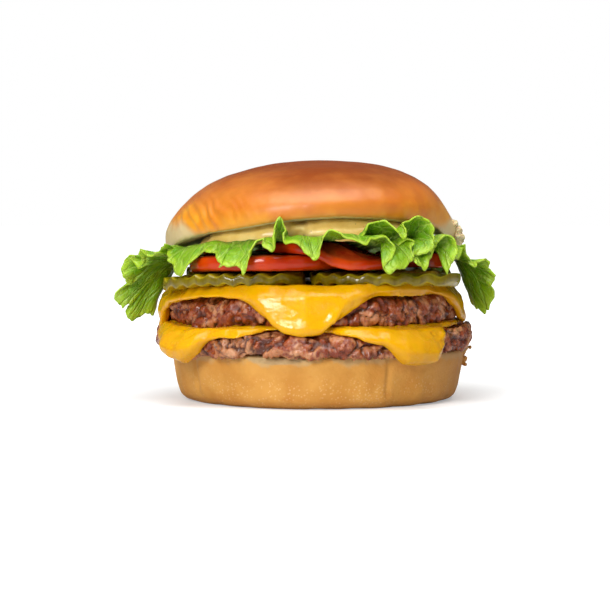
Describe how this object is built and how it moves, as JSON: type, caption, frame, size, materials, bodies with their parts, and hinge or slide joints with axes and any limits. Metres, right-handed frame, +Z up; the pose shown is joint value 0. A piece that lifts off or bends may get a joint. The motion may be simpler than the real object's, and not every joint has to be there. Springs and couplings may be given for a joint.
{
  "type": "cheeseburger",
  "caption": "Cheeseburger on a soft bun: smashed patties under melted cheese, pickles, tomato, ruffled leaf lettuce and sauce, stacked and standing on its heel.",
  "frame": {"origin": "centre of the heel's flat foot, on the surface that it rests on", "axes": "+Z up through the stack, -Y towards the side that the picture shows, +X to its right"},
  "size_m": [0.1322, 0.1167, 0.082],
  "materials": {
    "heel": "soft bread crumb, toasted at the cut edge",
    "patty": "craggy seared meat, moist",
    "cheese": "smooth, melted, glossy",
    "pickle": "wet, translucent",
    "tomato": "wet",
    "lettuce": "satin leaf",
    "sauce": "creamy, satin",
    "crown": "glazed golden crust with a soft sheen"
  },
  "bodies": {
    "root": {"heel": "heel", "patty_lower": "patty", "cheese_lower": "cheese", "patty_upper": "patty", "cheese_upper": "cheese", "pickle_front_left": "pickle", "pickle_front_right": "pickle", "pickle_back_right": "pickle", "pickle_back_left": "pickle", "tomato_front_left": "tomato", "tomato_front_right": "tomato", "tomato_right": "tomato", "tomato_back": "tomato", "lettuce_front": "lettuce", "lettuce_left": "lettuce", "lettuce_right": "lettuce", "sauce": "sauce", "crown": "crown"}
  },
  "joints": []
}
